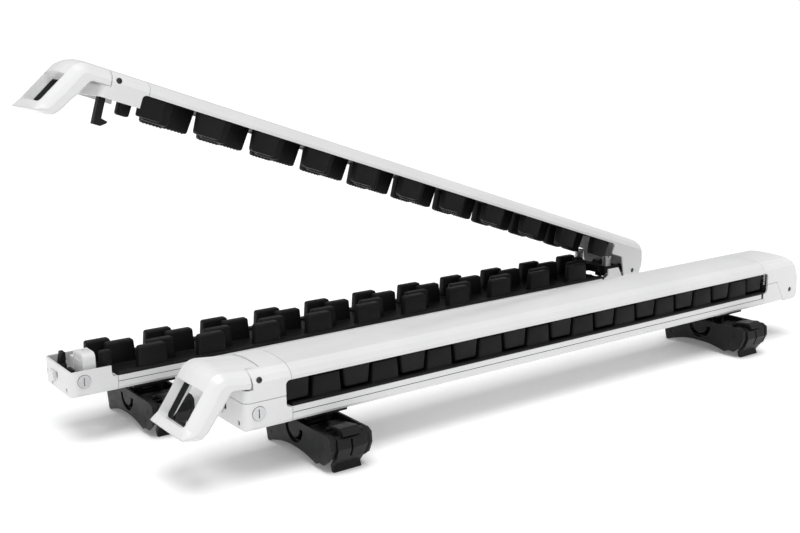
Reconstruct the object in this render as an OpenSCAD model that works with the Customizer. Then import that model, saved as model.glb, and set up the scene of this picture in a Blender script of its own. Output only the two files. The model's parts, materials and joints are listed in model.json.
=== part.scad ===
// Roof ski rack: a front and a rear clamping bar, each on two crossbar feet.
// Bar frame: X along the bar from the handle end, Y across it, Z up from the rail's underside.
// The model's origin is the crossbar seat under the front bar's left foot.

/* [Bar] */
// Length of the rails between the two end caps
rail_len = 900; // [700:10:1000]
// Width of a bar
bar_w = 100; // [96:1:110]
// Height of the base rail's sides
base_h = 19; // [17:0.5:21]
// Height of the lid's lower edge when closed
lid_edge = 53; // [52:0.5:54]
// Height of the parting line between the end caps
part_line = 34; // [32:1:35]
// Height of the lid's crown
crown = 73.5; // [72:0.5:76]
// Length of the handle-end caps
cap_len = 63.5; // [60:0.5:70]

/* [Rubber pads] */
// Spacing of the teeth along a row
tooth_pitch = 87.4; // [80:0.1:95]
// Width of a lower tooth at its root
tooth_w = 43; // [38:0.5:44]
// Height of the pad floor
pad_floor = 22.5; // [22:0.5:24]
// Height of the lower teeth's tops
tooth_top = 50.5; // [46:0.5:51]

/* [Feet] */
// Distance from the left seam to the middle of the left foot
foot_x = 59; // [50:1:200]
// Distance between the two feet of a bar
foot_span = 774; // [600:1:780]
// Width of a foot
foot_w = 60; // [56:1:64]
// Depth of the crossbar seat below the rail
seat_drop = 56; // [54:0.5:58]

/* [Rear bar] */
// Offset of the rear bar along X
rear_dx = -122; // [-200:1:200]
// Distance between the two bars
rear_dy = 243; // [200:1:800]
// Opening angle of the rear lid
rear_open = 19.3; // [0:0.1:55]
// Height to which the rear hinge is raised on its posts
rear_rise = 7; // [0:0.5:14]

/* [Front bar] */
// Angle by which the front handle stands out from its closed position
front_pull = 6; // [0:0.5:15]

/* [Hidden] */
$fn = 48;
eps = 0.01;
seam = 0.25;          // visible seam between fixed pieces
wall = 3;             // wall of the caps
rail_wall = 2.6;      // wall of the extrusions
mid = bar_w / 2;
ridge_y = 13.7;       // side bevel of the lid: where the crown starts
ridge_z = 70;
crease_y = 4;         // and where the near-vertical side ends
crease_z = 64;
win = [-8, 909];      // ends of the side window between base and lid
win_r = 6;
deck_z = 16;          // top of the base rail's deck
roof = 67;            // underside of the caps' roofs
pin = [969.7, 17];    // hinge pin in X and Z
pin_r = 4;
end_x = 994.7;        // end of the lid's hinge cap
end_low = [975.5, 19]; // centres and radii of the rounds of its end
end_low_r = 19.2;
end_top = [959, 54.5];
end_top_r = 20;
cap_r = 9;            // corner radius of the caps in plan
post = [919, 15];     // lift post in X and Y
post_r = 5.5;
link_top = 30;        // top of the link on the posts
spring_top = 51.6;    // middle of the springs' last coil
grip_pin = [-43, 67.3]; // handle pin in X and Z
knee = [-82.9, 48];     // centre of the handle's bend
arm_slope = 62;         // slope of the handle's arms below level
knee_steps = 8;
hook_pin = [-42, 56];   // hook's pivot in X and Z
hook_y = 51;
hook_ratio = 0.8;       // turn of the hook for a turn of the handle
lock = [-45.5, 20];     // lock barrel in X and Z
lock_r = 7.2;
lock_face_r = 8.6;
tee = [15.4, 41.2];     // neck and head widths of the carriage's tongue
tilt_pin = [mid, -27.4]; // foot's rocker pin in Y and Z
jaw_pin = [-21, -31];    // jaw's pin in Y and Z
lever_pin = [-6, -18];   // lever's pin in Y and Z
// Row positions across the pad, and the shift of each row along the bar
row_y = [12, 31, 54.5, 77];
row_dx = [52.5, 72, 112 - tooth_pitch, 90];
row_d = 14.5;            // depth of a tooth across the bar
upper_root = 55.5;
upper_tip = [25, 22.5, 21.5, 21.5]; // height of each row's tips
trough = 20;             // floor between the ledges

screw_r = 3;
screws = [for (x = [-16, 941]) for (y = [22, bar_w - 22]) [x, y]];

BARS = ["front", "rear"];
SIDES = ["left", "right"];
BAR_PARTS = ["base_rail", "base_latch_cap", "hinge_bracket", "lower_pad", "latch_tower", "latch_catch",
    "lock_barrel", "release_button", "lift_posts", "lift_springs", "base_screws", "hinge_link", "hinge_pin",
    "lid_rail", "lid_latch_cap", "lid_hinge_cap", "upper_pad", "handle", "handle_pin", "latch_hook"];
FOOT_PARTS = ["foot_carriage", "foot_body", "foot_jaw", "foot_lever", "saddle_pad"];

// Points of an arc about c
function arc(c, r, from, to, n = 8) =
    [for (i = [0 : n]) let (a = from + (to - from) * i / n) c + r * [cos(a), sin(a)]];

// A profile drawn as (y, z) and run along X
module along_x(x0, x1) translate([x0, 0, 0]) rotate([90, 0, 90]) linear_extrude(x1 - x0) children();

// A profile drawn as (x, z) and run along Y
module along_y(y0, y1) translate([0, y1, 0]) rotate([90, 0, 0]) linear_extrude(y1 - y0) children();

module box(a, b) translate(a) cube(b - a);

// A box given by its X range and mirrored to both sides of the bar
module both_sides() {
    children();
    translate([0, bar_w, 0]) mirror([0, 1, 0]) children();
}

module rod_y(c, r, y0, y1) translate([c.x, y0, c.y]) rotate([-90, 0, 0]) cylinder(r = r, h = y1 - y0);

module rod_x(c, r, x0, x1) translate([x0, c.x, c.y]) rotate([0, 90, 0]) cylinder(r = r, h = x1 - x0);

// Rounded rectangle of plain squares and circles
module round_rect(a, b, r) {
    translate([a.x + r, a.y]) square([b.x - a.x - 2 * r, b.y - a.y]);
    translate([a.x, a.y + r]) square([b.x - a.x, b.y - a.y - 2 * r]);
    for (x = [a.x + r, b.x - r]) for (y = [a.y + r, b.y - r]) translate([x, y]) circle(r);
}

// The side window as a cutter: open between the base's sides and the lid's edge
module window() along_y(-eps, bar_w + eps) round_rect([win[0], base_h], [win[1], lid_edge], win_r);

// ---- Base ----

module base_section() difference() {
    polygon([[3.5, 0], [bar_w - 3.5, 0], [bar_w, 4], [bar_w, base_h], [0, base_h], [0, 4]]);
    translate([rail_wall, deck_z]) square([bar_w - 2 * rail_wall, base_h]);
    // track for the feet
    translate([mid - 8, -1]) square([16, 5]);
    translate([mid - 21, 3.2]) square([42, 8.8]);
    // hollow chambers
    for (y = [rail_wall, mid + 24]) translate([y, 3]) square([mid - 24 - rail_wall, 10.4]);
    // groove line along both sides
    for (y = [-eps, bar_w - 0.7]) translate([y, 11]) square([0.7 + eps, 0.9]);
}

module base_rail() color("white") difference() {
    along_x(seam, rail_len - seam) base_section();
    // recess for the turned-down end of the pad's edge strip
    both_sides() box([rail_len - 6, -1, 10.9], [rail_len - 1, 1.1, base_h + 1]);
}

// Plan of an end cap, inset by d; the far corners lie outside the cap's own range
module latch_plan() round_rect([-cap_len, 0], [20, bar_w], cap_r);
module hinge_plan(d) round_rect([rail_len - 20, d], [end_x - d, bar_w - d], cap_r - d);

module base_latch_cap() color("white") difference() {
    union() {
        difference() {
            intersection() {
                linear_extrude(part_line) latch_plan();
                along_x(-cap_len - 1, -seam)
                    polygon([[3, 0], [bar_w - 3, 0], [bar_w, 4], [bar_w, 40], [0, 40], [0, 4]]);
            }
            box([-cap_len + wall, wall, wall], [-wall, bar_w - wall, 40]);
            window();
        }
        // boss behind the lock and screw boss by the end wall
        rod_y(lock, 10.5, wall - eps, 8.4);
        translate([-55.8, 36, wall - eps]) cylinder(r = 4.2, h = 17);
    }
    rod_y(lock, lock_face_r + 0.3, -1, 10);
    // slots of the end wall
    for (y = [83, 90]) box([-cap_len - 1, y, 13], [-cap_len + wall + 1, y + 2.6, 20]);
    box([-cap_len - 1, 58.4, 8.4], [-cap_len + wall + 1, 75.6, 22.6]);
    box([-cap_len - 1, 49, 15], [-cap_len + wall + 1, 56, 24]);
    box([-cap_len - 1, 70, 2.6], [-cap_len + wall + 1, 74, 6.8]);
    box([-cap_len - 1, 15, 4.6], [-cap_len + wall + 1, 20, 10]);
    screw_holes();
    // slot in the floor for the hook's end
    box([-58, hook_y - 8, -1], [-24, hook_y + 8, wall + 1]);
    // drain slots in the lower edge of the side
    for (x = [-53, -45]) box([x, -1, 1.2], [x + 5, 2.2, 2.8]);
}

module latch_tower() color("white") {
    // front block with a rounded top, its label window and the recess on top
    difference() {
        union() {
            box([-42.5, 9, wall], [-25.5, 45, 46.5]);
            intersection() {
                box([-42.5, 9, 40], [-25.5, 45, 53]);
                along_x(-43, -25) round_rect([9, 30], [45, 53], 7);
            }
        }
        box([-43, 18, 42], [-41.9, 41, 48]);
        box([-35, 22, 51], [-28, 34, 54]);
        // room for the lock's barrel
        rod_y(lock, lock_r + 0.4, 8, 22.5);
    }
    // rear block: the hook drops into the slot between the two
    box([-39, 58, wall], [-30, 70, 38]);
    box([-23.4, 44.9, wall], [-19, 58.1, 44]);
    box([-25.6, 40, wall], [-19, 45, 44]);
    box([-30.1, 58, wall], [-19, 63, 38]);
}

module latch_catch() color([0.12, 0.12, 0.13]) {
    // tapered post at the back of the tray and its foot
    translate([-48, 76, wall]) difference() {
        along_y(0, 12) polygon([[-3.5, 0], [7.5, 0], [5.5, 38], [0.5, 38], [-3.5, 18]]);
        translate([-4, -1, 22]) rotate([-12, 0, 0]) cube([14, 3, 30]);
    }
    // cross bracket beside the hook's slot
    box([-58, 84.4, wall], [-36, 96.7, 14]);
    box([-51, 26, wall], [-48, 42.8, 30]);
    box([-48.1, 26, wall], [-42.7, 42.8, 12]);
    // lip that the barb catches
    box([-26, 45.1, 12], [-23.5, 57.9, 20]);
}

module lock_barrel() color("silver") difference() {
    union() {
        rod_y(lock, lock_face_r, -0.8, 1.6);
        rod_y(lock, lock_r, 1.6, 22);
    }
    box([lock.x - 0.7, -1.2, lock.y - 5.5], [lock.x + 0.7, 3, lock.y + 5.5]);
}

module release_button() color("white") {
    box([-cap_len - 3.2, 58.8, 8.8], [-cap_len + 6, 75.2, 22.2]);
    box([-cap_len + wall + 2.6, 56.2, 6.8], [-cap_len + wall + 5.6, 70, 24]);
}

module hinge_bracket() color("white") difference() {
    union() {
        difference() {
            along_y(0, bar_w) polygon([[rail_len + seam, 0], [950, 0], [951, 3.6], [934, part_line],
                [rail_len + seam, part_line]]);
            box([rail_len - 1, wall, wall], [960, bar_w - wall, 40]);
            window();
        }
        // seats of the lift posts
        for (y = [post.y, bar_w - post.y]) translate([post.x, y, wall - eps]) cylinder(r = 9, h = 6);
    }
    for (y = [post.y, bar_w - post.y]) translate([post.x, y, -1]) cylinder(r = post_r, h = 20);
    screw_holes();
    // lower bevels in line with the rail's
    both_sides() along_x(rail_len - 1, 960) polygon([[-1, -1], [3.5, -1], [3.5, 0], [0, 4], [-1, 4]]);
}

module lift_posts() color("silver") for (y = [post.y, bar_w - post.y]) {
    translate([post.x, y, 0.4]) cylinder(r = post_r, h = 53);
    translate([post.x, y, 53]) cylinder(r = 8.2, h = 2.2);
}

// Springs between the link and the heads of the posts, shorter where the hinge is raised
module lift_springs(spring_low) color("gray") for (y = [post.y, bar_w - post.y])
    for (i = [0 : 6]) translate([post.x, y, spring_low + i * (spring_top - spring_low) / 6])
        rotate_extrude() translate([7, 0]) circle(0.9, $fn = 16);

module hinge_link() color([0.12, 0.12, 0.13]) difference() {
    union() {
        for (y = [post.y, bar_w - post.y]) translate([post.x, y, 18]) cylinder(r = 8.4, h = link_top - 18);
        // yoke between the bushes and arms to the barrel
        box([904, 20, 18], [922, bar_w - 20, link_top]);
        for (y = [20, bar_w - 34]) {
            box([910, y, 11], [966, y + 14, 23]);
            rod_y(pin, 7, y, y + 14);
        }
        box([930, 33.9, 12], [934, bar_w - 33.9, 22]);
    }
    for (y = [post.y, bar_w - post.y]) translate([post.x, y, 10]) cylinder(r = post_r + 0.08, h = 30);
    rod_y(pin, pin_r, 0, bar_w);
}

module hinge_pin() color("dimgray") {
    rod_y(pin, pin_r, 1.2, bar_w - 1.2);
}

module base_screws() color("dimgray") for (p = screws) {
    translate([p.x, p.y, 0.6]) cylinder(r = screw_r, h = wall);
    translate([p.x, p.y, wall]) cylinder(r = 5, h = 2.6);
}

module screw_holes() for (p = screws) translate([p.x, p.y, -1]) cylinder(r = screw_r + 0.05, h = wall + 2);

// ---- Lid ----

module lid_outline(low) intersection() {
    polygon([[0, low], [bar_w, low], [bar_w, lid_edge + 4], [bar_w - crease_y, crease_z],
        [bar_w - ridge_y, ridge_z], [bar_w - ridge_y, crown + 5], [ridge_y, crown + 5], [ridge_y, ridge_z],
        [crease_y, crease_z], [0, lid_edge + 4]]);
    translate([mid, crown - 190]) circle(190, $fn = 360);
}

module lid_section() difference() {
    lid_outline(lid_edge);
    // recess for the upper pad and the hollow above its deck
    translate([rail_wall, lid_edge - 1]) square([bar_w - 2 * rail_wall, 6.5]);
    intersection() {
        translate([rail_wall + 3, 61]) square([bar_w - 2 * rail_wall - 6, 20]);
        translate([mid, crown - 190 - rail_wall]) circle(190, $fn = 360);
        polygon([[6, 61], [bar_w - 6, 61], [bar_w - 7.5, 63.6], [bar_w - 17, 80], [17, 80], [7.5, 63.6]]);
    }
}

module lid_rail() color("white") along_x(seam, rail_len - seam) lid_section();

// Hollow under the crown whose upper corners follow the lid's bevels
module cap_hollow(side, low, top) polygon([[side, low], [bar_w - side, low], [bar_w - side, top - 4],
    [bar_w - side - 6, top], [side + 6, top], [side, top - 4]]);

module lid_latch_cap() color("white") difference() {
    union() {
        difference() {
            intersection() {
                along_x(-cap_len, -seam) lid_outline(part_line + 0.6);
                linear_extrude(90) latch_plan();
            }
            // hollow, open below
            box([-cap_len + wall, wall, 30], [1, bar_w - wall, lid_edge + 5.4]);
            along_x(-50, -wall) cap_hollow(8, 50, roof);
            // room for the handle's shell
            box([-cap_len - 1, -1, 50], [-51.6, bar_w + 1, 90]);
            box([-52, 18.6, 60], [-32.9, bar_w - 18.6, 90]);
            window();
        }
        // ears of the handle pin
        intersection() {
            for (y = [8, bar_w - 18.6]) box([-48, y, 60], [-37, y + 10.6, 68]);
            along_x(-50, -30) lid_outline(part_line);
        }
        // cheeks of the hook's pivot
        for (y = [hook_y - 9.3, hook_y + 6.3]) box([-47, y, 52.4], [-37, y + 3, 60]);
        box([-37.5, hook_y - 9.3, 52.4], [-31, hook_y + 9.3, 60]);
        box([-32.8, hook_y - 9.3, 52.4], [-30, hook_y + 9.3, 68]);
    }
    rod_y(grip_pin, 10.6, 18.6, bar_w - 18.6);
    rod_y(grip_pin, 2, 13, bar_w - 13);
    rod_y(hook_pin, 1.58, hook_y - 10, hook_y + 10);
    // side screws
    both_sides() rod_y([-42.6, 60.5], 4, -1, 2.4);
}

// Side profile of the hinge cap's end, inset by d
module end_profile(d) polygon(concat([[rail_len - 5, d]], arc(end_low, end_low_r - d, -90, 22),
    arc(end_top, end_top_r - d, 22, 90), [[rail_len - 5, end_top.y + end_top_r - d]]));

module lid_hinge_cap() color("white") difference() {
    intersection() {
        along_x(rail_len + seam, 1000) lid_outline(-1);
        along_y(0, bar_w) end_profile(0);
        linear_extrude(90) hinge_plan(0);
    }
    // the base's bracket stands below and before the slanted parting line
    along_y(-1, bar_w + 1) polygon([[rail_len - 5, -1], [rail_len - 5, part_line + 0.6],
        [934.3, part_line + 0.6], [951.6, 3.6], [955.4, -1]]);
    window();
    // hollow, open below and towards the rail
    intersection() {
        box([rail_len - 1, 0, -1], [1000, bar_w, lid_edge + 5.4]);
        along_y(0, bar_w) end_profile(wall);
        linear_extrude(90) hinge_plan(wall);
    }
    box([rail_len + wall, 9, 50], [end_top.x, bar_w - 9, roof]);
    box([rail_len - 1, wall, -1], [968, bar_w - wall, part_line]);
    rod_y(pin, pin_r + 0.06, -1, bar_w + 1);
}

module handle_pin() color("silver") rod_y(grip_pin, 1.9, 13.4, bar_w - 13.4);

// Direction from the knee's centre at an angle from straight up, in X and Z
function radial(a) = [-sin(a), cos(a)];

// Stations along the handle: ridge point and underside point in X and Z, tilt of the section,
// how much of the side bevel is left and how far the sides are drawn in
arm_top = knee + (ridge_z - knee.y) * radial(arm_slope);
function on_arm(d) = arm_top - d * [cos(arm_slope), sin(arm_slope)];
stations = concat(
    [[[-52.4, ridge_z], [-52.4, 50.6], 0, 1, 0], [[-74, ridge_z], [-74, 50.6], 0, 1, 0]],
    [for (k = [0:knee_steps]) let (t = k / knee_steps) [knee + (ridge_z - knee.y) * radial(arm_slope * t),
        [-75 - 5.6 * t, 50.1 - 4.8 * t * t], arm_slope * t, 1, 0]],
    [[on_arm(15), [-88.8, 30.9], arm_slope, 1, 0], [on_arm(30), [-95.4, 21.6], arm_slope, 1, 0],
        [on_arm(56), [-105.4, 4.8], 57, 0.9, 0], [[-132.2, 3], [-112.3, -3], 66, 0.6, 0.8],
        [[-135.8, -3.5], [-119.5, -5.3], 83.6, 0.1, 4.5]]);

// Crown of the section above its ridges, from side to side
crown_y = [0.25, 0.5, 0.75];
function ring(s) = let (p = s[0], b = s[1], m = radial(s[2]), f = s[3], d = s[4], r = crease_y + f * (ridge_y - crease_y),
    half = [[d, -13 * f], [crease_y * f + d, -6 * f], [r + d, 0]],
    top = [for (u = crown_y) [mid + (2 * u - 1) * (mid - r - d), (crown - ridge_z) * f * (1 - pow(2 * u - 1, 2))]],
    pts = concat(half, top, [for (i = [2, 1, 0]) [bar_w - half[i].x, half[i].y]]))
    concat([[b.x, d, b.y]], [for (q = pts) [p.x + q.y * m.x, q.x, p.y + q.y * m.y]], [[b.x, bar_w - d, b.y]]);

// Body of the handle: from the cap round the knee, down the arms and out along the lip
module handle_body() {
    rings = [for (s = stations) ring(s)];
    n = len(rings[0]);
    last = (len(rings) - 1) * n;
    polyhedron(points = [for (r = rings) each r], faces = concat(
        [[for (i = [0:n - 1]) i]], [[for (i = [0:n - 1]) last + n - 1 - i]],
        [for (k = [0:len(rings) - 2], i = [0:n - 1]) [k * n + (i + 1) % n, k * n + i, (k + 1) * n + i]],
        [for (k = [0:len(rings) - 2], i = [0:n - 1])
            [(k + 1) * n + (i + 1) % n, k * n + (i + 1) % n, (k + 1) * n + i]]));
}

module handle_tongue() polygon([[-52.4, 66], [-33.3, 66], [-33.3, 80], [-52.4, 80]]);

module handle() color("white") difference() {
    union() {
        handle_body();
        // tongue on the cap's top, rounded about the pin
        intersection() {
            along_y(19, bar_w - 19) handle_tongue();
            along_x(-60, 0) polygon([for (p = ring(stations[0])) [p.y, p.z]]);
            union() {
                rod_y(grip_pin, 10.2, 18, bar_w - 18);
                box([-60, 18, 60], [-50, bar_w - 18, 90]);
            }
            difference() {
                box([-60, 0, 60], [0, bar_w, 90]);
                along_x(-51, 0) translate([mid, crown - 190 - 2.8]) circle(190, $fn = 360);
            }
        }
        box([-56, 20, 66.2], [-52, bar_w - 20, 69]);
        // hubs on the pin
        for (y = [19, bar_w - 29]) rod_y(grip_pin, 3.2, y, y + 10);
        for (y = [19, bar_w - 29]) box([-52.5, y, 65.5], [-43, y + 10, 69.5]);
    }
    // hollow of the shell behind the knee
    along_x(-74, -55.4) cap_hollow(6, 50, 65.3);
    // finger opening through the loop
    loop_frame() finger_opening();
    rod_y(grip_pin, 1.97, 0, bar_w);
}

// Plane of the loop: drawn as (across the bar, up the arms), cut along its normal
module loop_frame() translate([-117.3, 0, 17.4]) rotate([0, 90 - arm_slope, 0]) rotate([90, 0, 90])
    linear_extrude(200, center = true) children();

module finger_opening() {
    round_rect([ridge_y + 0.8, -14.4], [bar_w - ridge_y - 0.8, 20], 6);
    round_rect([ridge_y + 0.8, 0], [bar_w - ridge_y - 0.8, 32.7], 2);
}

module latch_hook() color([0.12, 0.12, 0.13]) difference() {
    union() {
        rod_y(hook_pin, 4.2, hook_y - 6, hook_y + 6);
        along_y(hook_y - 5, hook_y + 5) polygon([[-46.2, 56], [-37.8, 56], [-36, 14], [-35.6, 10.8],
            [-26.6, 9], [-27.8, 6], [-34.5, 1], [-44.5, 1], [-46, 30]]);
    }
    rod_y(hook_pin, 1.5, hook_y - 7, hook_y + 7);
}

// ---- Pads ----

// One tooth: a block with tapering sides between two heights
module tooth(cx, cy, w0, w1, z0, z1, d = row_d) translate([cx, 0, 0]) along_y(cy - d / 2, cy + d / 2)
    polygon([[-w0 / 2, z0], [w0 / 2, z0], [w1 / 2, z1], [-w1 / 2, z1]]);

lower_teeth = [for (r = [0 : 3]) for (k = [0 : 9]) let (x = row_dx[r] + k * tooth_pitch)
    if (x + tooth_w / 2 < rail_len - 2) [x, row_y[r]]];

module lower_pad() color([0.1, 0.1, 0.1]) {
    box([1, rail_wall + 0.3, deck_z], [rail_len - 1.5, bar_w - rail_wall - 0.3, trough]);
    both_sides() {
        box([1, 0.8, base_h], [rail_len - 1.5, 13, pad_floor]);
        // end of the edge strip, turned down over the rail's side
        box([rail_len - 5.6, 0.2, 11], [rail_len - 1.5, 0.9, base_h + 1]);
    }
    for (t = lower_teeth) tooth(t.x, t.y, tooth_w, tooth_w - 5, trough - eps, tooth_top);
    // half tooth and first rear tooth beside the tower
    tooth(-8, row_y[0] + 9.5, 17, 15, trough, tooth_top, 11);
    box([-16.5, row_y[0] + 4, base_h], [1.1, bar_w - 8, trough + 1]);
    tooth(2, row_y[3], 36, 34, trough - eps, tooth_top);
    // short last teeth by the hinge
    tooth(rail_len - 14, row_y[2], 18, 15, trough - eps, tooth_top);
    tooth(rail_len - 23, row_y[3], 40, 36, trough - eps, tooth_top);
}

module upper_pad() color([0.1, 0.1, 0.1]) {
    box([2, rail_wall + 0.6, upper_root], [rail_len - 1, bar_w - rail_wall - 0.6, lid_edge + 5.4]);
    for (r = [0 : 3]) for (k = [0 : 10]) let (x = row_dx[r] + (k - 0.5) * tooth_pitch)
        if (x - tooth_w / 2 > 2 && x + tooth_w / 2 < rail_len + 3)
            tooth(x, row_y[r], tooth_w - 7.5, tooth_w - 2, upper_tip[r], upper_root + eps);
    // short teeth that reach under the latch cap, and the last of the first row
    tooth(9.5, row_y[0] - 2.5, 33, 36, upper_tip[0], upper_root + eps, 9.5);
    tooth(-8, row_y[2], 17, 19, upper_tip[2], upper_root + eps);
    tooth(879.5, row_y[0], 35.5, 38.8, upper_tip[0], upper_root + eps);
    box([-20, row_y[0] - row_d / 2, upper_root], [3, row_y[2] + row_d / 2, lid_edge + 5.4]);
}

// ---- Feet, drawn about their own middle in X ----

foot_side = concat(
    [[-29, -17.5], [-36.5, -21.5], [-37.5, -35], [-31, -49], [-19, -58], [-10, -57.6]],
    arc([mid, -240], 186, 106, 79, 8), [[104, -62.5], [117, -67], [120, -65.5], [128, -31], [122, -18.5]]);

module foot_carriage() color([0.12, 0.12, 0.13]) {
    box([-34, 12, -6.5], [26, 88, -0.5]);
    box([-32, mid - tee[0] / 2, -1], [24, mid + tee[0] / 2, 3.6]);
    box([-32, mid - tee[1] / 2 + 0.3, 3.5], [24, mid + tee[1] / 2 - 0.3, 11.6]);
    // lugs down to the rocker pin
    for (x = [-17, 11]) {
        box([x, mid - 11, -27], [x + 6, mid + 11, -6]);
        rod_x(tilt_pin, 11, x, x + 6);
    }
    rod_x(tilt_pin, 5, -29.9, 29.9);
}

module foot_body() color([0.16, 0.16, 0.17]) difference() {
    union() {
        // side plates
        for (x = [-foot_w / 2, foot_w / 2 - 3.4]) along_x(x, x + 3.4) polygon(foot_side);
        // block that ties them, stepped round the carriage's lugs
        box([-26.7, 68, -52], [26.7, 120, -24]);
        box([-26.7, -18, -52], [26.7, 30, -24]);
        box([-26.7, 29, -52], [26.7, 69, -45]);
        // nose on both sides of the jaw
        for (x = [-26.7, 21]) along_x(x, x + 5.7) polygon([[-28, -18.5], [-35, -22], [-36, -35],
            [-30, -48], [-17, -53], [-17, -18.5]]);
    }
    // rocker bore and the curved slot round it
    rod_x(tilt_pin, 5.05, -31, 31);
    for (x = [-31, foot_w / 2 - 4]) along_x(x, x + 5) difference() {
        translate(tilt_pin) circle(21.5);
        translate(tilt_pin) circle(14);
        translate(tilt_pin + [-30, 0]) square([60, 30]);
    }
    rod_x(jaw_pin, 2.55, -31, 31);
    rod_x([-12, -47], 2, -31, 31);
    rod_x([108, -52], 2, -31, 31);
    // lever's cradle
    box([-14, -20, -27], [14, 4, -10]);
    rod_x(lever_pin, 2.05, -17, 17);
    // room for the jaw's eye
    rod_x(jaw_pin, 6.5, -20.6, 20.6);
}

module foot_jaw() color([0.13, 0.13, 0.14]) difference() {
    union() {
        rod_x(jaw_pin, 5, -20, 20);
        rod_x(jaw_pin, 2.5, -29.6, 29.6);
        along_x(-20, 20) polygon([[-22, -27], [-31, -19.5], [-37, -22.5], [-39.5, -35], [-34, -49],
            [-25, -60], [-27.5, -67], [-22, -67], [-19.5, -59], [-27.5, -47], [-33.5, -35], [-32, -26], [-23, -33]]);
    }
    // draw-bolt slot
    box([-1.5, -50, -47], [1.5, -30, -24]);
}

module foot_lever() color([0.13, 0.13, 0.14]) {
    rod_x(lever_pin, 2, -16.4, 16.4);
    rod_x(lever_pin, 4, -12, 12);
    along_x(-13, 13) polygon([[-6, -20.5], [-6, -14.6], [-31, -10.5], [-37.5, -13], [-39, -19], [-36, -19],
        [-32, -15.8], [-18, -16.5]]);
}

module saddle_pad() color([0.08, 0.08, 0.08]) difference() {
    box([-26, 2, -seat_drop], [26, 98, -52]);
    // grip ribs
    for (y = [6 : 8 : 90]) box([-27, y, -seat_drop - 1], [27, y + 2, -seat_drop + 1]);
}

// ---- Assembly ----

module at_bar(bar) translate([-foot_x, -mid, seat_drop])
    if (bar == "front") children(); else translate([rear_dx, rear_dy, 0]) children();

function rise(bar) = bar == "rear" ? rear_rise : 0;

module link_pose(bar) translate([0, 0, rise(bar)]) children();

module lid_pose(bar) link_pose(bar) {
    if (bar == "front") children();
    else translate([pin.x, 0, pin.y]) rotate([0, rear_open, 0]) translate([-pin.x, 0, -pin.y]) children();
}

module pull_pose(bar) lid_pose(bar) {
    if (bar == "rear") children();
    else translate([grip_pin.x, 0, grip_pin.y]) rotate([0, front_pull, 0])
        translate([-grip_pin.x, 0, -grip_pin.y]) children();
}

module swing_pose(bar) lid_pose(bar) {
    if (bar == "rear") children();
    else translate([hook_pin.x, 0, hook_pin.y]) rotate([0, front_pull * hook_ratio, 0])
        translate([-hook_pin.x, 0, -hook_pin.y]) children();
}

module bar_part(bar, name) at_bar(bar) {
    if (name == "base_rail") base_rail();
    if (name == "base_latch_cap") base_latch_cap();
    if (name == "hinge_bracket") hinge_bracket();
    if (name == "lower_pad") lower_pad();
    if (name == "latch_tower") latch_tower();
    if (name == "latch_catch") latch_catch();
    if (name == "lock_barrel") lock_barrel();
    if (name == "release_button") release_button();
    if (name == "lift_posts") lift_posts();
    if (name == "lift_springs") lift_springs(link_top + 1.2 + rise(bar));
    if (name == "base_screws") base_screws();
    if (name == "hinge_link") link_pose(bar) hinge_link();
    if (name == "hinge_pin") link_pose(bar) hinge_pin();
    if (name == "lid_rail") lid_pose(bar) lid_rail();
    if (name == "lid_latch_cap") lid_pose(bar) lid_latch_cap();
    if (name == "lid_hinge_cap") lid_pose(bar) lid_hinge_cap();
    if (name == "upper_pad") lid_pose(bar) upper_pad();
    if (name == "handle") pull_pose(bar) handle();
    if (name == "handle_pin") lid_pose(bar) handle_pin();
    if (name == "latch_hook") swing_pose(bar) latch_hook();
}

module foot_part(bar, side, name) at_bar(bar) translate([side == "left" ? foot_x : foot_x + foot_span, 0, 0]) {
    if (name == "foot_carriage") foot_carriage();
    if (name == "foot_body") foot_body();
    if (name == "foot_jaw") foot_jaw();
    if (name == "foot_lever") foot_lever();
    if (name == "saddle_pad") saddle_pad();
}

for (b = BARS) for (p = BAR_PARTS)
    bar_part(b, p);
for (b = BARS) for (s = SIDES) for (p = FOOT_PARTS)
    foot_part(b, s, p);
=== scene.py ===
# Looks of the roof ski rack: rubber pads, springs, screws, materials, light and camera.
import json
import math

import bmesh
import bpy
from mathutils import Matrix, Vector, noise


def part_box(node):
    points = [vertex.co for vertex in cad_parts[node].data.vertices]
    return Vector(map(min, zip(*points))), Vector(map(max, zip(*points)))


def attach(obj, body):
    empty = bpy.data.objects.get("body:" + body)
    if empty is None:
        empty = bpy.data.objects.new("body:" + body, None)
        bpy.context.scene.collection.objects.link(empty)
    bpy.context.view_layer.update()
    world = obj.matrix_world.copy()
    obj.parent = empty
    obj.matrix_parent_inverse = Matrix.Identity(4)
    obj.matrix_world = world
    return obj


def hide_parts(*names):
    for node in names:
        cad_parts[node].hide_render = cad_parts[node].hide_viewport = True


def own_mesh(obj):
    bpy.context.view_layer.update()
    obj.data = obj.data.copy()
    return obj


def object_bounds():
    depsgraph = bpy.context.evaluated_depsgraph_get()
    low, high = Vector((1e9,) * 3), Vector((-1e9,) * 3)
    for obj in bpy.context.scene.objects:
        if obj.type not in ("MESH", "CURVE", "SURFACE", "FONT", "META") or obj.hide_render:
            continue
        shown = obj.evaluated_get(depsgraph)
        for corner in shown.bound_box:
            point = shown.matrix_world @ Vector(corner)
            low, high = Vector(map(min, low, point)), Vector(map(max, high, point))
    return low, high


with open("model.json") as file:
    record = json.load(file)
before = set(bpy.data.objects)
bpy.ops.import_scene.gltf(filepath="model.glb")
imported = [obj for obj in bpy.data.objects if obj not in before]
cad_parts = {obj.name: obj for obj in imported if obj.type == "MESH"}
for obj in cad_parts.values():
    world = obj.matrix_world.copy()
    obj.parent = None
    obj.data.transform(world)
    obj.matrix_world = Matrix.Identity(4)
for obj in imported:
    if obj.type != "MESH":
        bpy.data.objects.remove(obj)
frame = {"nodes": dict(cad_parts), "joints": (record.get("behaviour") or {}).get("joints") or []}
NODES = frame["nodes"]
CAD_BOX = [list(v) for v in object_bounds()]

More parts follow.
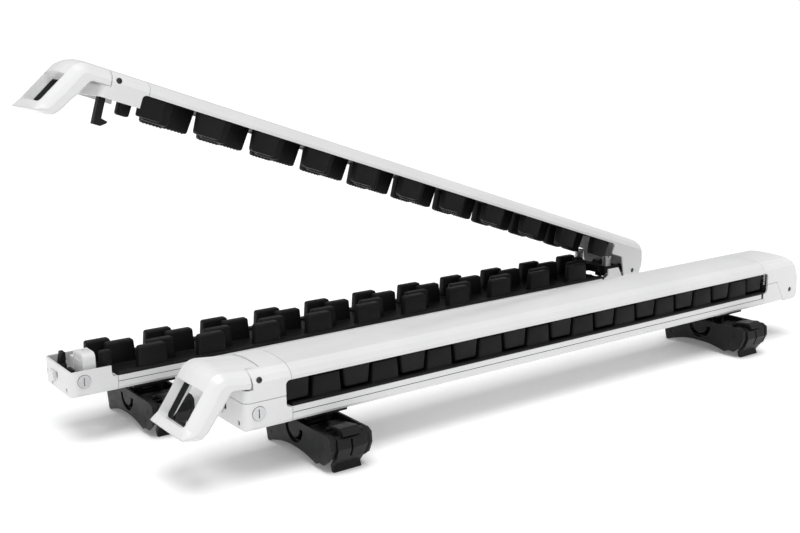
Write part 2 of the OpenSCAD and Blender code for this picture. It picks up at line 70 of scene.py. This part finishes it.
MM = 0.001
BARS = ("front", "rear")
SIDES = ("left", "right")
BAR_W = 100
# Corner of each bar's own frame: X from the left seam, Y from the near side, Z from the rail's underside
ORIGIN = {b: Vector((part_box(b + "_base_rail")[0].x - 0.25 * MM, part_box(b + "_base_rail")[0].y,
                     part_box(b + "_base_rail")[0].z)) for b in BARS}


def joint(name):
    return next(j for j in frame["joints"] if j["name"] == name)


# Turn and rise of the rear lid, read from the two bars' hinge joints
PIN = {b: Vector(joint(b + "_lid_hinge")["pos_m"]) for b in BARS}
OPEN = {"front": 0.0, "rear": math.radians(-joint("rear_lid_hinge")["range_deg"][0])}
CLOSED_PIN = PIN["front"] - ORIGIN["front"]


def base_place(bar):
    """Matrix from bar millimetres to the row frame for what stays on the base."""
    return Matrix.Translation(ORIGIN[bar]) @ Matrix.Scale(MM, 4)


def lid_place(bar):
    """The same for what moves with the lid, in its rest pose."""
    turn = Matrix.Rotation(OPEN[bar], 4, "Y")
    return Matrix.Translation(PIN[bar]) @ turn @ Matrix.Translation(-CLOSED_PIN) @ Matrix.Scale(MM, 4)


# ---- Materials ----

def surface(name, colour, rough, *, dark=None, metallic=0.0, radius=0.8, grain=900, grain_mm=0.03,
            coat=0.0, coat_rough=0.3, wear=0.0, wear_colour=(0.9, 0.9, 0.9), blotch=9.0, specular=0.5, sheen=0.0):
    """A moulded, coated or plated surface with broad and fine variation, rounded edges and edge wear."""
    m = bpy.data.materials.new(name)
    m.use_nodes = True
    t = m.node_tree
    n, link = t.nodes, t.links.new
    shader = n["Principled BSDF"]
    at = n.new("ShaderNodeTexCoord").outputs["Object"]

    def tex(scale, detail, rough_=0.55):
        x = n.new("ShaderNodeTexNoise")
        x.inputs["Scale"].default_value = scale
        x.inputs["Detail"].default_value = detail
        x.inputs["Roughness"].default_value = rough_
        link(at, x.inputs["Vector"])
        return x.outputs["Fac"]

    def remap(source, a, b, lo, hi):
        x = n.new("ShaderNodeMapRange")
        for key, v in (("From Min", a), ("From Max", b), ("To Min", lo), ("To Max", hi)):
            x.inputs[key].default_value = v
        link(source, x.inputs["Value"])
        return x.outputs["Result"]

    def blend(fac, a, b):
        x = n.new("ShaderNodeMix")
        x.data_type = "RGBA"
        link(fac, x.inputs[0])
        for sock, v in ((x.inputs[6], a), (x.inputs[7], b)):
            if isinstance(v, tuple):
                sock.default_value = (*v, 1)
            else:
                link(v, sock)
        return x.outputs[2]

    broad = tex(blotch, 4)
    fine = tex(grain, 2)
    low = dark or tuple(c * 0.93 for c in colour)
    col = blend(remap(broad, 0.3, 0.7, 0, 1), low, tuple(colour))
    round_ = n.new("ShaderNodeBevel")
    round_.samples = 4
    round_.inputs["Radius"].default_value = radius * MM
    if wear:
        geo = n.new("ShaderNodeNewGeometry")
        dot = n.new("ShaderNodeVectorMath")
        dot.operation = "DOT_PRODUCT"
        link(geo.outputs["Normal"], dot.inputs[0])
        link(round_.outputs["Normal"], dot.inputs[1])
        edge = remap(dot.outputs["Value"], 0.995, 0.85, 0, wear)
        patchy = n.new("ShaderNodeMath")
        patchy.operation = "MULTIPLY"
        link(edge, patchy.inputs[0])
        link(remap(tex(60, 3), 0.35, 0.65, 0.2, 1), patchy.inputs[1])
        col = blend(patchy.outputs[0], col, wear_colour)
    link(col, shader.inputs["Base Color"])
    link(remap(tex(blotch * 5, 3), 0.3, 0.7, max(rough - 0.06, 0.03), min(rough + 0.07, 1)), shader.inputs["Roughness"])
    bump = n.new("ShaderNodeBump")
    bump.inputs["Strength"].default_value = 0.6
    bump.inputs["Distance"].default_value = grain_mm * MM
    link(fine, bump.inputs["Height"])
    link(round_.outputs["Normal"], bump.inputs["Normal"])
    link(bump.outputs["Normal"], shader.inputs["Normal"])
    shader.inputs["Metallic"].default_value = metallic
    shader.inputs["Specular IOR Level"].default_value = specular
    shader.inputs["Coat Weight"].default_value = coat
    shader.inputs["Coat Roughness"].default_value = coat_rough
    shader.inputs["Sheen Weight"].default_value = sheen
    return m


RAIL = surface("white_powder_coat", (0.76, 0.76, 0.765), 0.34, radius=0.5, grain=1400, grain_mm=0.03, wear=0.2,
               coat=0.35, coat_rough=0.16)
SHELL = surface("white_shell", (0.79, 0.79, 0.795), 0.36, radius=1.0, grain=1100, grain_mm=0.02, wear=0.25,
                coat=0.35, coat_rough=0.16)
GRIP = surface("white_handle", (0.8, 0.8, 0.805), 0.34, radius=3.0, grain=1100, grain_mm=0.02, wear=0.15,
               coat=0.35, coat_rough=0.16)
RUBBER = surface("pad_rubber", (0.0095, 0.0095, 0.01), 0.5, dark=(0.006, 0.006, 0.0065), radius=0.6, grain=700,
                 grain_mm=0.06, wear=0.5, wear_colour=(0.1, 0.1, 0.1), blotch=16, specular=0.16)
BLACK = surface("black_nylon", (0.012, 0.012, 0.013), 0.42, dark=(0.008, 0.008, 0.009), radius=1.2, grain=1300,
                grain_mm=0.05, wear=0.45, wear_colour=(0.09, 0.09, 0.09), blotch=14, specular=0.2)
# Flat dark colour that paints shade: used for the dark plates in the end-wall slots and the side groove, and the band
# inside the finger opening
SHADE = surface("painted_cavity_shade", (0.02, 0.02, 0.021), 0.7, radius=0.2, grain=900, grain_mm=0.05, specular=0.2)
NICKEL = surface("nickel", (0.6, 0.6, 0.61), 0.27, metallic=1.0, radius=0.4, grain=1500, grain_mm=0.01, wear=0.2)
STEEL = surface("spring_steel", (0.62, 0.62, 0.63), 0.28, metallic=1.0, radius=0.2, grain=1500, grain_mm=0.01)
DARK_STEEL = surface("black_oxide", (0.06, 0.06, 0.062), 0.38, metallic=0.9, radius=0.3, grain=1500, grain_mm=0.02,
                     wear=0.4, wear_colour=(0.3, 0.3, 0.3))

MATERIAL = {
    "base_rail": RAIL, "lid_rail": RAIL,
    "base_latch_cap": SHELL, "hinge_bracket": SHELL, "lid_latch_cap": SHELL, "lid_hinge_cap": SHELL,
    "latch_tower": SHELL, "release_button": SHELL, "handle": GRIP,
    "lower_pad": RUBBER, "upper_pad": RUBBER, "saddle_pad": RUBBER,
    "latch_catch": BLACK, "latch_hook": BLACK, "hinge_link": BLACK,
    "foot_carriage": BLACK, "foot_body": BLACK, "foot_jaw": BLACK, "foot_lever": BLACK,
    "lock_barrel": NICKEL, "lift_posts": NICKEL, "lift_springs": STEEL, "base_screws": DARK_STEEL,
    "hinge_pin": DARK_STEEL, "handle_pin": NICKEL,
}
for name, ob in NODES.items():
    key = max((k for k in MATERIAL if name.endswith(k)), key=len)
    ob.data.materials.clear()
    ob.data.materials.append(MATERIAL[key])


def piece(name, bm, place, body, material, replaces=None, smooth=True):
    """Makes an object of a bmesh drawn in bar millimetres and hangs it on a body."""
    bmesh.ops.recalc_face_normals(bm, faces=bm.faces)
    me = bpy.data.meshes.new(name)
    bm.to_mesh(me)
    bm.free()
    me.transform(place)
    if smooth:
        me.shade_smooth()
        me.set_sharp_from_angle(angle=math.radians(38))
    ob = bpy.data.objects.new(name, me)
    bpy.context.scene.collection.objects.link(ob)
    me.materials.append(material)
    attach(ob, body)
    if replaces:
        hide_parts(replaces)
    return ob


# ---- Rubber pads ----

RAIL_LEN = 900
PITCH = 87.4
TOOTH_W = 43
ROW_Y = (12, 31, 54.5, 77)
ROW_DX = (52.5, 72, 112 - PITCH, 90)
ROW_D = 14.5
TROUGH, LEDGE, TOP = 20, 22.5, 50.5
UPPER_TIP = (25, 22.5, 21.5, 21.5)
UPPER_ROOT = 55.5
ROUND = 3.2


def tooth(bm, cx, cy, w0, w1, z0, z1, depth=ROW_D, ribs=False):
    """A rounded tapering block; z0 is its root and z1 its tip, w0 and w1 its widths there."""
    up = 1 if z1 > z0 else -1
    ends = []
    for z, w, d in ((z0, w0, depth), (z1, w1, depth - 0.6)):
        ends.append([bm.verts.new((cx + sx * w / 2, cy + sy * d / 2, z))
                     for sx, sy in ((-1, -1), (1, -1), (1, 1), (-1, 1))])
    made = []
    for i in range(4):
        k = (i + 1) % 4
        made.append(bm.faces.new((ends[0][i], ends[0][k], ends[1][k], ends[1][i])))
    tip = bm.faces.new(ends[1])
    bm.faces.new(ends[0])
    uprights = [e for i in range(4) for e in ends[0][i].link_edges if ends[1][i] in e.verts]
    rim = [e for e in tip.edges]
    r = min(ROUND, depth * 0.25)
    out = bmesh.ops.bevel(bm, geom=uprights + rim, offset=r, segments=4, profile=0.5, affect="EDGES",
                          clamp_overlap=True)
    if not ribs:
        # small moulding dimple in the middle of the tip
        inner = [f for f in out["faces"] if f.is_valid]
        flat = [f for f in bm.faces if abs(f.calc_center_median().z - z1) < 1e-4
                and abs(f.calc_center_median().x - cx) < 0.5 and abs(f.calc_center_median().y - cy) < 0.5]
        for f in flat[:1]:
            loop = list(f.edges)
            bm.faces.remove(f)
            ring = [bm.verts.new((cx + 1.3 * math.cos(a * math.pi / 4), cy + 1.3 * math.sin(a * math.pi / 4), z1))
                    for a in range(8)]
            ring_edges = [bm.edges.new((ring[i], ring[(i + 1) % 8])) for i in range(8)]
            bmesh.ops.triangle_fill(bm, edges=loop + ring_edges, use_beauty=True)
            low = bm.verts.new((cx, cy, z1 - 1.1 * up))
            for i in range(8):
                if bm.faces.get((ring[i], ring[(i + 1) % 8], low)) is None:
                    bm.faces.new((ring[i], ring[(i + 1) % 8], low))
    else:
        # raised diagonal ribs across the tip
        count = max(2, int(w1 / 5.5))
        half, rise, lean = 0.8, 0.7, 2.2
        for i in range(count):
            x = cx + (i - (count - 1) / 2) * 5.2
            y = depth / 2 - r
            base = [(x - half - lean, cy - y), (x + half - lean, cy - y), (x + half + lean, cy + y),
                    (x - half + lean, cy + y)]
            lo = [bm.verts.new((px, py, z1 - 0.3 * up)) for px, py in base]
            hi = [bm.verts.new((px, py, z1 + rise * up)) for px, py in base]
            bm.faces.new(hi)
            bm.faces.new(lo)
            for a in range(4):
                b = (a + 1) % 4
                bm.faces.new((lo[a], lo[b], hi[b], hi[a]))


def slab(bm, lo, hi, r, seg=2):
    """A box with rounded edges."""
    made = bmesh.ops.create_cube(bm, size=1.0)
    for v in made["verts"]:
        v.co = Vector([lo[i] + (v.co[i] + 0.5) * (hi[i] - lo[i]) for i in range(3)])
    edges = {e for v in made["verts"] for e in v.link_edges}
    bmesh.ops.bevel(bm, geom=list(edges), offset=r, segments=seg, profile=0.5, affect="EDGES", clamp_overlap=True)


def lower_pad(bar):
    bm = bmesh.new()
    end = RAIL_LEN - 1.5
    slab(bm, (1, 3, 16.2), (end, BAR_W - 3, TROUGH), 0.6)
    for a, b in ((0.8, 13), (BAR_W - 13, BAR_W - 0.8)):
        slab(bm, (1, a, 19), (end, b, LEDGE), 1.2, 3)
    for y0 in (0.2, BAR_W - 0.9):
        slab(bm, (RAIL_LEN - 5.6, y0, 11), (end, y0 + 0.7, 20), 0.2)
    for r in range(4):
        for k in range(10):
            x = ROW_DX[r] + k * PITCH
            if x + TOOTH_W / 2 < RAIL_LEN - 2:
                tooth(bm, x, ROW_Y[r], TOOTH_W, TOOTH_W - 5, TROUGH - 0.5, TOP)
    tooth(bm, -8, ROW_Y[0] + 9.5, 17, 15, TROUGH, TOP, depth=11)
    tooth(bm, 2, ROW_Y[3], 36, 34, TROUGH - 0.5, TOP)
    tooth(bm, RAIL_LEN - 14, ROW_Y[2], 18, 15, TROUGH - 0.5, TOP)
    tooth(bm, RAIL_LEN - 23, ROW_Y[3], 40, 36, TROUGH - 0.5, TOP)
    slab(bm, (-16.5, ROW_Y[0] + 4, 19.1), (1.1, BAR_W - 8, TROUGH + 1), 0.6)
    return piece(bar + "_ribbed_lower_pad", bm, base_place(bar), bar + "_base", RUBBER, bar + "_lower_pad")


def upper_pad(bar):
    bm = bmesh.new()
    slab(bm, (2, 3.2, UPPER_ROOT), (RAIL_LEN - 1, BAR_W - 3.2, 58.3), 0.8)
    for r in range(4):
        for k in range(11):
            x = ROW_DX[r] + (k - 0.5) * PITCH
            if x - TOOTH_W / 2 > 2 and x + TOOTH_W / 2 < RAIL_LEN + 3:
                ribs = r > 0
                tooth(bm, x, ROW_Y[r], TOOTH_W - 2, TOOTH_W - 7.5, UPPER_ROOT + 0.5, UPPER_TIP[r] + (0.8 if ribs else 0),
                      ribs=ribs)
    tooth(bm, 9.5, ROW_Y[0] - 2.5, 36, 33, UPPER_ROOT + 0.5, UPPER_TIP[0], depth=9.5)
    tooth(bm, -8, ROW_Y[2], 19, 17, UPPER_ROOT + 0.5, UPPER_TIP[2])
    tooth(bm, 879.5, ROW_Y[0], 38.8, 35.5, UPPER_ROOT + 0.5, UPPER_TIP[0])
    slab(bm, (-20, ROW_Y[0] - ROW_D / 2, UPPER_ROOT), (3, ROW_Y[2] + ROW_D / 2, 58.3), 0.6)
    return piece(bar + "_ribbed_upper_pad", bm, lid_place(bar), bar + "_lid", RUBBER, bar + "_upper_pad")


# ---- Springs and screws ----

def helix(bm, centre, r, wire, z0, z1, turns, ring=8, per_turn=24):
    """A coil spring with closed end turns."""
    total = turns * per_turn
    rows = []
    for i in range(total + 1):
        s = i / total
        # end turns lie flat
        e = min(1, max(0, (s * turns - 0.6) / (turns - 1.2)))
        z = z0 + (z1 - z0) * e
        a = 2 * math.pi * turns * s
        out = Vector((math.cos(a), math.sin(a), 0))
        c = Vector((centre[0], centre[1], z)) + out * r
        rows.append([bm.verts.new(c + out * wire * math.cos(b) + Vector((0, 0, 1)) * wire * math.sin(b))
                     for b in (2 * math.pi * k / ring for k in range(ring))])
    for a, b in zip(rows, rows[1:]):
        for k in range(ring):
            m = (k + 1) % ring
            bm.faces.new((a[k], a[m], b[m], b[k]))
    bm.faces.new(rows[0])
    bm.faces.new(rows[-1])


def springs(bar):
    bm = bmesh.new()
    lo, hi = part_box(bar + "_lift_springs")
    o = ORIGIN[bar]
    z0, z1 = (lo.z - o.z) / MM + 0.9, (hi.z - o.z) / MM - 0.9
    x = ((lo.x + hi.x) / 2 - o.x) / MM
    for y in (15, BAR_W - 15):
        helix(bm, (x, y), 7, 0.9, z0, z1, 6)
    ob = piece(bar + "_coil_springs", bm, base_place(bar), bar + "_base", STEEL, bar + "_lift_springs")
    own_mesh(ob)


def socket_screw(bm, at, axis, r, depth, socket, points=6, star=False):
    """A domed screw head facing along axis, with a recessed drive."""
    axis = Vector(axis).normalized()
    side = axis.orthogonal().normalized()
    up = axis.cross(side)
    seg = 24

    def ring(rad, h, star_=False):
        out = []
        for i in range(seg):
            a = 2 * math.pi * i / seg
            q = rad
            if star_:
                q = rad * (1 - 0.18 * (0.5 + 0.5 * math.cos(points * a)))
            out.append(bm.verts.new(Vector(at) + axis * h + (side * math.cos(a) + up * math.sin(a)) * q))
        return out

    rows = [ring(r, -depth), ring(r, -0.5), ring(r * 0.9, -0.12), ring(r * 0.72, 0), ring(socket, 0, star),
            ring(socket * 0.94, -1.3, star)]
    for a, b in zip(rows, rows[1:]):
        for k in range(seg):
            m = (k + 1) % seg
            bm.faces.new((a[k], a[m], b[m], b[k]))
    bm.faces.new(rows[0])
    bm.faces.new(rows[-1])


def screws(bar):
    bm = bmesh.new()
    for y, d in ((1.1, -1), (BAR_W - 1.1, 1)):
        socket_screw(bm, (-42.6, y, 60.5), (0, d, 0), 3.7, 1.2, 2.1, star=True)
    piece(bar + "_side_screws", bm, lid_place(bar), bar + "_lid", DARK_STEEL)
    for side, fx in (("left", 59), ("right", 833)):
        bm = bmesh.new()
        for y, z in ((-12, -47), (108, -52)):
            for x, d in ((-30 + 0.35, -1), (30 - 0.35, 1)):
                socket_screw(bm, (fx + x, y, z), (d, 0, 0), 1.95, 1.6, 1.1)
        piece(f"{bar}_{side}_foot_screws", bm, base_place(bar), f"{bar}_{side}_foot", DARK_STEEL)


# ---- Painted shade: dark plates and bands where shade falls ----

LOOP_AT = Vector((-117.3, 0, 17.4))   # middle of the finger opening's frame
LOOP_UP = Vector((math.cos(math.radians(62)), 0, math.sin(math.radians(62))))
LOOP_OUT = Vector((-LOOP_UP.z, 0, LOOP_UP.x))
GRIP_PIN = Vector((-43, 0, 67.3))
PULL = {b: math.radians(-joint(b + "_handle_pull")["range_deg"][0]) for b in BARS}


def handle_place(bar):
    turn = Matrix.Rotation(PULL[bar], 4, "Y")
    return lid_place(bar) @ Matrix.Translation(GRIP_PIN) @ turn @ Matrix.Translation(-GRIP_PIN)


def round_loop(inset):
    """Outline of the finger opening, drawn inwards by inset: pairs (across, up the arms)."""
    out = []
    y0, y1, s0, s1 = 14.5 + inset, 85.5 - inset, -14.4 + inset, 32.7 - inset
    for cy, cs, r, a0 in ((y0, s0, 6, 180), (y1, s0, 6, 270), (y1, s1, 2, 0), (y0, s1, 2, 90)):
        r = max(r - inset, 0.5)
        oy = r if cy == y0 else -r
        os_ = r if cs == s0 else -r
        for k in range(7):
            a = math.radians(a0 + 15 * k)
            out.append((cy + oy + r * math.cos(a), cs + os_ + r * math.sin(a)))
    return out


def painted_opening_shade(bar):
    """Painted shade: a dark band over the inner half of the finger opening, where the wall lies in shadow."""
    bm = bmesh.new()
    rows = []
    for inset, out in ((0.05, -6.5), (0.5, -6.5), (0.5, -14.5), (0.05, -14.5)):
        row = []
        for y, s in round_loop(inset):
            v = LOOP_AT + LOOP_UP * s + LOOP_OUT * out
            row.append(bm.verts.new((v.x, y, v.z)))
        rows.append(row)
    n = len(rows[0])
    for i in range(4):
        a, b = rows[i], rows[(i + 1) % 4]
        for k in range(n):
            m = (k + 1) % n
            bm.faces.new((a[k], a[m], b[m], b[k]))
    piece(bar + "_handle_painted_shade", bm, handle_place(bar), bar + "_handle", SHADE)


def painted_slot_shade(bar):
    """Painted shade: dark plates behind the slots of the end wall, and a dark strip painting the shade in the side
    groove.
    """
    bm = bmesh.new()
    x0, x1 = -61.7, -60.7
    for y0, y1, z0, z1 in ((83, 85.6, 13, 20), (90, 92.6, 13, 20), (49, 56, 15, 24), (70, 74, 2.6, 6.8), (15, 20, 4.6, 10)):
        slab(bm, (x0, y0 + 0.05, z0 + 0.05), (x1, y1 - 0.05, z1 - 0.05), 0.1, 1)
    # dark strips along the side groove, painting the shade in the crease
    for y0 in (0.3, BAR_W - 0.66):
        slab(bm, (0.6, y0, 11.04), (893.5, y0 + 0.36, 11.86), 0.05, 1)
    piece(bar + "_end_wall_painted_shade", bm, base_place(bar), bar + "_base", SHADE)


for bar in BARS:
    lower_pad(bar)
    upper_pad(bar)
    springs(bar)
    screws(bar)
    painted_opening_shade(bar)
    painted_slot_shade(bar)

# ---- Stage, light and camera ----

floor_bm = bmesh.new()
bmesh.ops.create_circle(floor_bm, cap_ends=True, segments=64, radius=60)
floor_mesh = bpy.data.meshes.new("floor")
floor_bm.to_mesh(floor_mesh)
floor_bm.free()
floor = bpy.data.objects.new("floor", floor_mesh)
floor.location.z = CAD_BOX[0][2] - 0.3 * MM
bpy.context.scene.collection.objects.link(floor)
paint = bpy.data.materials.new("floor_white")
paint.use_nodes = True
paint.node_tree.nodes["Principled BSDF"].inputs["Base Color"].default_value = (0.95, 0.95, 0.95, 1)
paint.node_tree.nodes["Principled BSDF"].inputs["Emission Color"].default_value = (1, 1, 1, 1)
paint.node_tree.nodes["Principled BSDF"].inputs["Emission Strength"].default_value = 0.12
paint.node_tree.nodes["Principled BSDF"].inputs["Roughness"].default_value = 0.9
floor_mesh.materials.append(paint)

world = bpy.data.worlds.new("studio")
world.use_nodes = True
wt = world.node_tree
background = wt.nodes["Background"]
background.inputs["Color"].default_value = (1, 1, 1, 1)
background.inputs["Strength"].default_value = 0.45
seen = wt.nodes.new("ShaderNodeBackground")
seen.inputs["Color"].default_value = (1, 1, 1, 1)
path = wt.nodes.new("ShaderNodeLightPath")
mix = wt.nodes.new("ShaderNodeMixShader")
wt.links.new(path.outputs["Is Camera Ray"], mix.inputs[0])
wt.links.new(background.outputs[0], mix.inputs[1])
wt.links.new(seen.outputs[0], mix.inputs[2])
wt.links.new(mix.outputs[0], wt.nodes["World Output"].inputs["Surface"])
bpy.context.scene.world = world
bpy.context.scene.view_settings.view_transform = "Standard"


def sun(name, energy, angle, direction):
    data = bpy.data.lights.new(name, "SUN")
    data.energy = energy
    data.angle = math.radians(angle)
    ob = bpy.data.objects.new(name, data)
    ob.rotation_euler = Vector(direction).to_track_quat("-Z", "Y").to_euler()
    bpy.context.scene.collection.objects.link(ob)


sun("key", 2.1, 40, (0.15, 0.2, -1.0))
sun("fill", 0.25, 60, (0.75, 0.6, -0.3))

CAM_AT = Vector((-0.68864, -1.15871, 0.52791))
CAM_TURN = (-0.219115, 0.0113719, -0.6216934)   # pitch, roll and yaw of the view
LENS = 50.14
rx, ry, rz = CAM_TURN
turn = Matrix.Rotation(rz, 3, "Z") @ Matrix.Rotation(ry, 3, "Y") @ Matrix.Rotation(rx, 3, "X")
right, ahead, up = turn.col[0], turn.col[1], turn.col[2]
cam_data = bpy.data.cameras.new("camera")
cam_data.lens = LENS
cam_data.sensor_width = 36
cam_data.clip_start = 0.01
cam_data.clip_end = 200
cam = bpy.data.objects.new("camera", cam_data)
m = Matrix.Identity(4)
for i in range(3):
    m[i][0], m[i][1], m[i][2], m[i][3] = right[i], up[i], -ahead[i], CAM_AT[i]
cam.matrix_world = m
bpy.context.scene.collection.objects.link(cam)
bpy.context.scene.camera = cam

bpy.context.view_layer.update()
